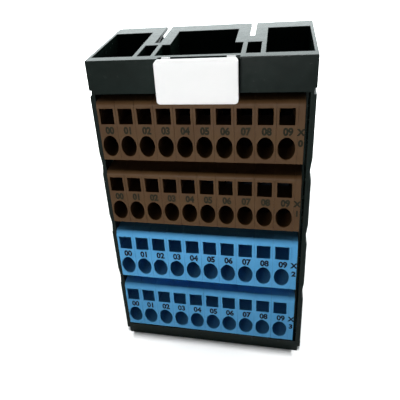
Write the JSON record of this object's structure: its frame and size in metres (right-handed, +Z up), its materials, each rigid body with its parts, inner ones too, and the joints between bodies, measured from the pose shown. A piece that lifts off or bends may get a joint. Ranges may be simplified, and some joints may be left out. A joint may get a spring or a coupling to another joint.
{
  "type": "potential terminal block",
  "caption": "Rail-mounted potential terminal block: black frame with a pocketed head, stacked rows of brown and blue spring-clamp poles, a hinged blank label flap and a sprung rail latch.",
  "frame": {"origin": "centre of the overall box at its bottom, under the foot", "axes": "+Z up through the rows, -Y out of the row faces, +Y towards the rail, +X to the end plates"},
  "size_m": [0.0564, 0.0376, 0.0965],
  "materials": {
    "brown_plastic": "satin",
    "blue_plastic": "satin",
    "black_plastic": "satin",
    "white_plastic": "satin",
    "brass": "plain",
    "spring_steel": "plain"
  },
  "bodies": {
    "terminal_block": {"pole_x0_00": "brown_plastic", "pole_x0_01": "brown_plastic", "pole_x0_02": "brown_plastic", "pole_x0_03": "brown_plastic", "pole_x0_04": "brown_plastic", "pole_x0_05": "brown_plastic", "pole_x0_06": "brown_plastic", "pole_x0_07": "brown_plastic", "pole_x0_08": "brown_plastic", "pole_x0_09": "brown_plastic", "pole_x1_00": "brown_plastic", "pole_x1_01": "brown_plastic", "pole_x1_02": "brown_plastic", "pole_x1_03": "brown_plastic", "pole_x1_04": "brown_plastic", "pole_x1_05": "brown_plastic", "pole_x1_06": "brown_plastic", "pole_x1_07": "brown_plastic", "pole_x1_08": "brown_plastic", "pole_x1_09": "brown_plastic", "pole_x2_00": "blue_plastic", "pole_x2_01": "blue_plastic", "pole_x2_02": "blue_plastic", "pole_x2_03": "blue_plastic", "pole_x2_04": "blue_plastic", "pole_x2_05": "blue_plastic", "pole_x2_06": "blue_plastic", "pole_x2_07": "blue_plastic", "pole_x2_08": "blue_plastic", "pole_x2_09": "blue_plastic", "pole_x3_00": "blue_plastic", "pole_x3_01": "blue_plastic", "pole_x3_02": "blue_plastic", "pole_x3_03": "blue_plastic", "pole_x3_04": "blue_plastic", "pole_x3_05": "blue_plastic", "pole_x3_06": "blue_plastic", "pole_x3_07": "blue_plastic", "pole_x3_08": "blue_plastic", "pole_x3_09": "blue_plastic", "end_plate_x0": "brown_plastic", "end_plate_x1": "brown_plastic", "end_plate_x2": "blue_plastic", "end_plate_x3": "blue_plastic", "clamp_springs_x0": "spring_steel", "clamp_springs_x1": "spring_steel", "clamp_springs_x2": "spring_steel", "clamp_springs_x3": "spring_steel", "bus_bar_x0": "brass", "bus_bar_x1": "brass", "bus_bar_x2": "brass", "bus_bar_x3": "brass", "housing": "black_plastic", "rear_cover": "black_plastic", "latch_spring": "spring_steel"},
    "label_flap": {"label_flap": "white_plastic"},
    "rail_latch": {"rail_latch": "black_plastic"}
  },
  "joints": [
    {"name": "flap_hinge", "type": "hinge", "parent": "terminal_block", "child": "label_flap", "pos_m": [0.0007, -0.0137, 0.09495], "axis": [-1, 0, 0], "range_deg": [0, 110]},
    {"name": "latch_slide", "type": "slide", "parent": "terminal_block", "child": "rail_latch", "axis": [0, 0, -1], "range_m": [0, 0.0022], "stiffness_N_per_m": 800, "springref_m": -0.003, "deforming": ["latch_spring"]}
  ]
}
